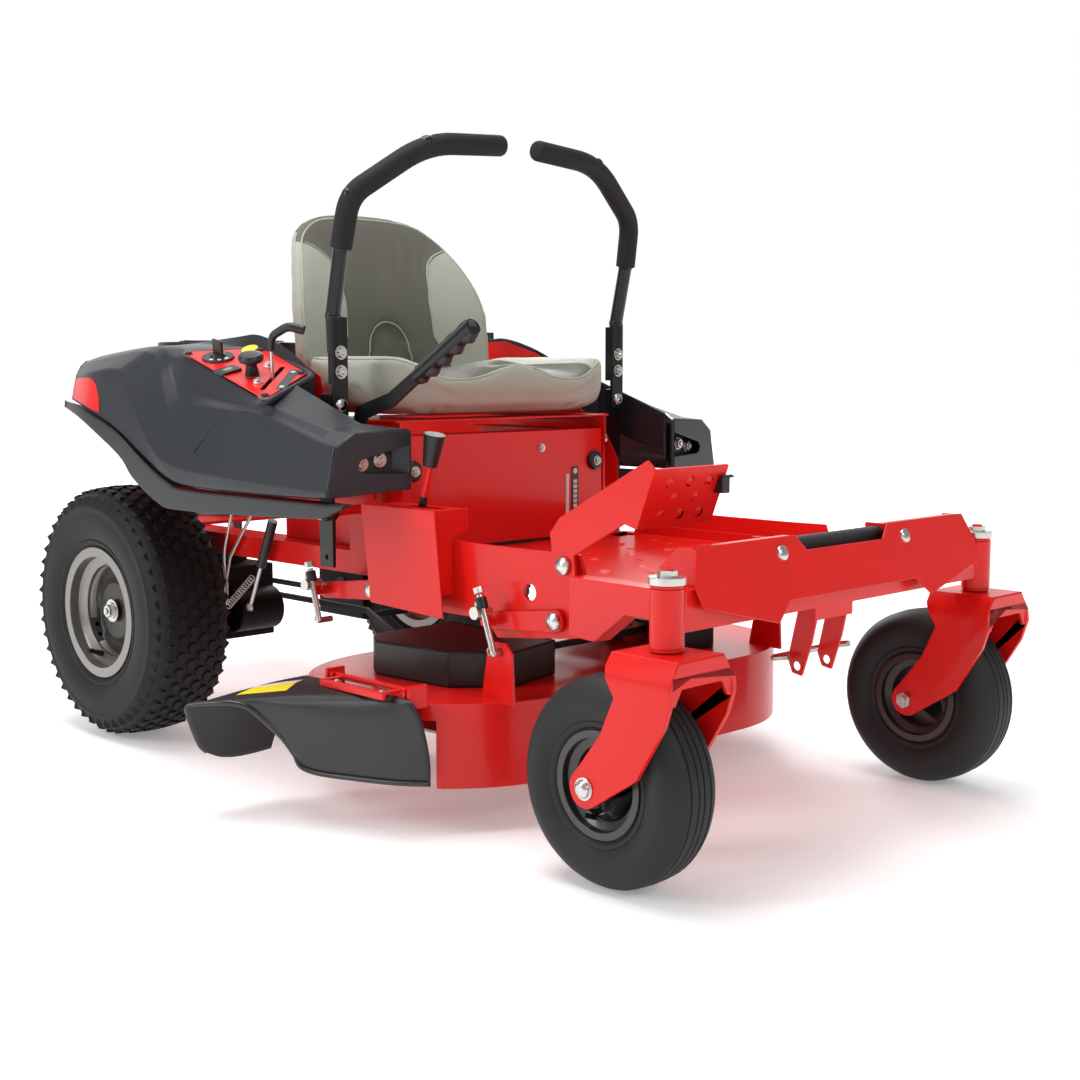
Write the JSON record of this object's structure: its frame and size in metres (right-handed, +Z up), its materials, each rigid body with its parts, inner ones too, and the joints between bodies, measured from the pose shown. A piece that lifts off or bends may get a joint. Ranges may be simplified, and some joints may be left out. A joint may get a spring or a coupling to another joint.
{
  "type": "zero turn mower",
  "caption": "Ride-on zero turn mower with twin swing-out steering levers, high-back seat, front casters on a guarded beam, side-discharge deck and folding rubber chute.",
  "frame": {"origin": "on the ground under the middle of the machine's bounding box", "axes": "+Z up, the front of the machine faces -Y, the operator's right is -X"},
  "size_m": [1.0608, 1.8419, 1.0424],
  "materials": {
    "red_paint": "gloss",
    "black_paint": "satin",
    "pod_plastic": "satin",
    "flare_plastic": "satin",
    "black_plastic": "satin",
    "cast_metal": "cast",
    "zinc": "zinc plated",
    "blade_steel": "satin",
    "turf_tyre": "matt",
    "caster_rubber": "satin",
    "rim_grey": "satin",
    "caster_rim_dark": "satin",
    "foam_grip": "matt",
    "seat_vinyl": "grained",
    "belt_rubber": "matt",
    "chute_rubber": "satin"
  },
  "bodies": {
    "chassis": {"frame_rail_right": "red_paint", "frame_rail_left": "red_paint", "rear_frame": "red_paint", "front_beam": "red_paint", "front_guard": "red_paint", "foot_bar": "black_paint", "floor_pan": "red_paint", "seat_box": "red_paint", "lock_bracket": "red_paint", "pod_right": "pod_plastic", "pod_left": "pod_plastic", "flare_right": "flare_plastic", "flare_left": "flare_plastic", "control_panel": "red_paint", "fuel_tank": "black_plastic", "battery": "black_plastic", "engine_block": "cast_metal", "engine_shroud": "black_plastic", "transaxle_right": "cast_metal", "transaxle_left": "cast_metal", "frame_bolts": "zinc"},
    "rear_wheel_right": {"tyre_right": "turf_tyre", "rim_right": "rim_grey"},
    "rear_wheel_left": {"tyre_left": "turf_tyre", "rim_left": "rim_grey"},
    "caster_right": {"fork_right": "red_paint", "caster_pins_right": "zinc"},
    "caster_wheel_right": {"caster_tyre_right": "caster_rubber", "caster_rim_right": "caster_rim_dark"},
    "caster_left": {"fork_left": "red_paint", "caster_pins_left": "zinc"},
    "caster_wheel_left": {"caster_tyre_left": "caster_rubber", "caster_rim_left": "caster_rim_dark"},
    "control_arm_right": {"control_arm_right": "black_paint"},
    "lever_right": {"lever_right": "black_paint", "grip_right": "foam_grip"},
    "control_arm_left": {"control_arm_left": "black_paint"},
    "lever_left": {"lever_left": "black_paint", "grip_left": "foam_grip"},
    "brake": {"brake_lever": "black_paint"},
    "seat": {"seat_plate": "red_paint", "seat": "seat_vinyl"},
    "deck": {"deck_shell": "red_paint", "belt_covers": "black_plastic", "deck_hangers": "zinc", "mower_belt": "belt_rubber"},
    "blade_right": {"spindle_right": "zinc", "blade_right": "blade_steel"},
    "blade_left": {"spindle_left": "zinc", "blade_left": "blade_steel"},
    "chute": {"chute": "chute_rubber"},
    "lift_pedal": {"lift_pedal": "red_paint"},
    "front_lift_arms": {"front_lift_arms": "red_paint"},
    "rear_lift_arms": {"rear_lift_arms": "red_paint"},
    "lock_lever": {"lock_lever": "black_plastic"},
    "throttle": {"throttle_lever": "black_plastic"},
    "pto_knob": {"pto_knob": "black_plastic"},
    "ignition_key": {"ignition_key": "black_plastic"},
    "fuel_cap": {"fuel_cap": "black_plastic"},
    "crank_pulley": {"crank_pulley": "zinc"}
  },
  "joints": [
    {"name": "rear_wheel_right_spin", "type": "hinge", "parent": "chassis", "child": "rear_wheel_right", "pos_m": [-0.298, 0.425, 0.229], "axis": [1, 0, 0], "continuous": true},
    {"name": "caster_right_swivel", "type": "hinge", "parent": "chassis", "child": "caster_right", "pos_m": [-0.298, -0.86, 0.36], "axis": [0, 0, 1], "continuous": true},
    {"name": "caster_wheel_right_spin", "type": "hinge", "parent": "caster_right", "child": "caster_wheel_right", "pos_m": [-0.298, -0.78, 0.14], "axis": [1, 0, 0], "continuous": true},
    {"name": "control_arm_right_turn", "type": "hinge", "parent": "chassis", "child": "control_arm_right", "pos_m": [-0.259, -0.12, 0.44], "axis": [1, 0, 0], "range_deg": [-6, 12]},
    {"name": "lever_right_swing", "type": "hinge", "parent": "control_arm_right", "child": "lever_right", "pos_m": [-0.246, -0.131, 0.608], "axis": [0, -1, 0], "range_deg": [0, 30]},
    {"name": "rear_wheel_left_spin", "type": "hinge", "parent": "chassis", "child": "rear_wheel_left", "pos_m": [0.446, 0.425, 0.229], "axis": [1, 0, 0], "continuous": true},
    {"name": "caster_left_swivel", "type": "hinge", "parent": "chassis", "child": "caster_left", "pos_m": [0.446, -0.86, 0.36], "axis": [0, 0, 1], "continuous": true},
    {"name": "caster_wheel_left_spin", "type": "hinge", "parent": "caster_left", "child": "caster_wheel_left", "pos_m": [0.446, -0.78, 0.14], "axis": [1, 0, 0], "continuous": true},
    {"name": "control_arm_left_turn", "type": "hinge", "parent": "chassis", "child": "control_arm_left", "pos_m": [0.407, -0.12, 0.44], "axis": [1, 0, 0], "range_deg": [-6, 12]},
    {"name": "lever_left_swing", "type": "hinge", "parent": "control_arm_left", "child": "lever_left", "pos_m": [0.394, -0.131, 0.608], "axis": [0, 1, 0], "range_deg": [0, 30]},
    {"name": "brake_lever_turn", "type": "hinge", "parent": "chassis", "child": "brake", "pos_m": [-0.219, -0.135, 0.505], "axis": [1, 0, 0], "range_deg": [0, 15]},
    {"name": "seat_tilt", "type": "hinge", "parent": "chassis", "child": "seat", "pos_m": [0.074, -0.175, 0.54], "axis": [1, 0, 0], "range_deg": [0, 30]},
    {"name": "deck_lift", "type": "slide", "parent": "chassis", "child": "deck", "axis": [0, 0, 1], "range_m": [0, 0.05]},
    {"name": "blade_right_spin", "type": "hinge", "parent": "deck", "child": "blade_right", "pos_m": [-0.141, -0.295, 0.09], "axis": [0, 0, 1], "continuous": true},
    {"name": "blade_left_spin", "type": "hinge", "parent": "deck", "child": "blade_left", "pos_m": [0.289, -0.295, 0.09], "axis": [0, 0, 1], "continuous": true},
    {"name": "crank_spin", "type": "hinge", "parent": "chassis", "child": "crank_pulley", "pos_m": [0.074, 0.64, 0.222], "axis": [0, 0, 1], "continuous": true},
    {"name": "chute_fold", "type": "hinge", "parent": "deck", "child": "chute", "pos_m": [-0.356, -0.345, 0.212], "axis": [0, 1, 0], "range_deg": [0, 80]},
    {"name": "lift_pedal_turn", "type": "hinge", "parent": "chassis", "child": "lift_pedal", "pos_m": [-0.227, -0.615, 0.396], "axis": [1, 0, 0], "range_deg": [0, 24]},
    {"name": "front_lift_turn", "type": "hinge", "parent": "chassis", "child": "front_lift_arms", "pos_m": [0.074, -0.592, 0.316], "axis": [1, 0, 0], "range_deg": [0, 25]},
    {"name": "rear_lift_turn", "type": "hinge", "parent": "chassis", "child": "rear_lift_arms", "pos_m": [0.074, -0.186, 0.319], "axis": [1, 0, 0], "range_deg": [0, 25]},
    {"name": "lock_lever_turn", "type": "hinge", "parent": "chassis", "child": "lock_lever", "pos_m": [-0.223, -0.297, 0.425], "axis": [1, 0, 0], "range_deg": [0, 20]},
    {"name": "throttle_turn", "type": "hinge", "parent": "chassis", "child": "throttle", "pos_m": [-0.2804, -0.0099, 0.62265], "axis": [0.5897, -0.8058, -0.0539], "range_deg": [-40, 30]},
    {"name": "pto_pull", "type": "slide", "parent": "chassis", "child": "pto_knob", "axis": [-0.2351, -0.2351, 0.9431], "range_m": [0, 0.012]},
    {"name": "ignition_turn", "type": "hinge", "parent": "chassis", "child": "ignition_key", "pos_m": [-0.29562, 0.12298, 0.67956], "axis": [-0.2351, -0.2351, 0.9431], "range_deg": [0, 60]},
    {"name": "fuel_cap_turn", "type": "hinge", "parent": "chassis", "child": "fuel_cap", "pos_m": [0.424, 0.275, 0.716], "axis": [0, 0, 1], "range_deg": [0, 120]}
  ],
  "couplings": [
    {"joint": "blade_left_spin", "follows": "blade_right_spin", "ratio": 1},
    {"joint": "crank_spin", "follows": "blade_right_spin", "ratio": 1.24},
    {"joint": "lift_pedal_turn", "follows": "deck_lift", "rad_per_m": 8},
    {"joint": "front_lift_turn", "follows": "deck_lift", "rad_per_m": 8.31},
    {"joint": "rear_lift_turn", "follows": "deck_lift", "rad_per_m": 8.31}
  ]
}
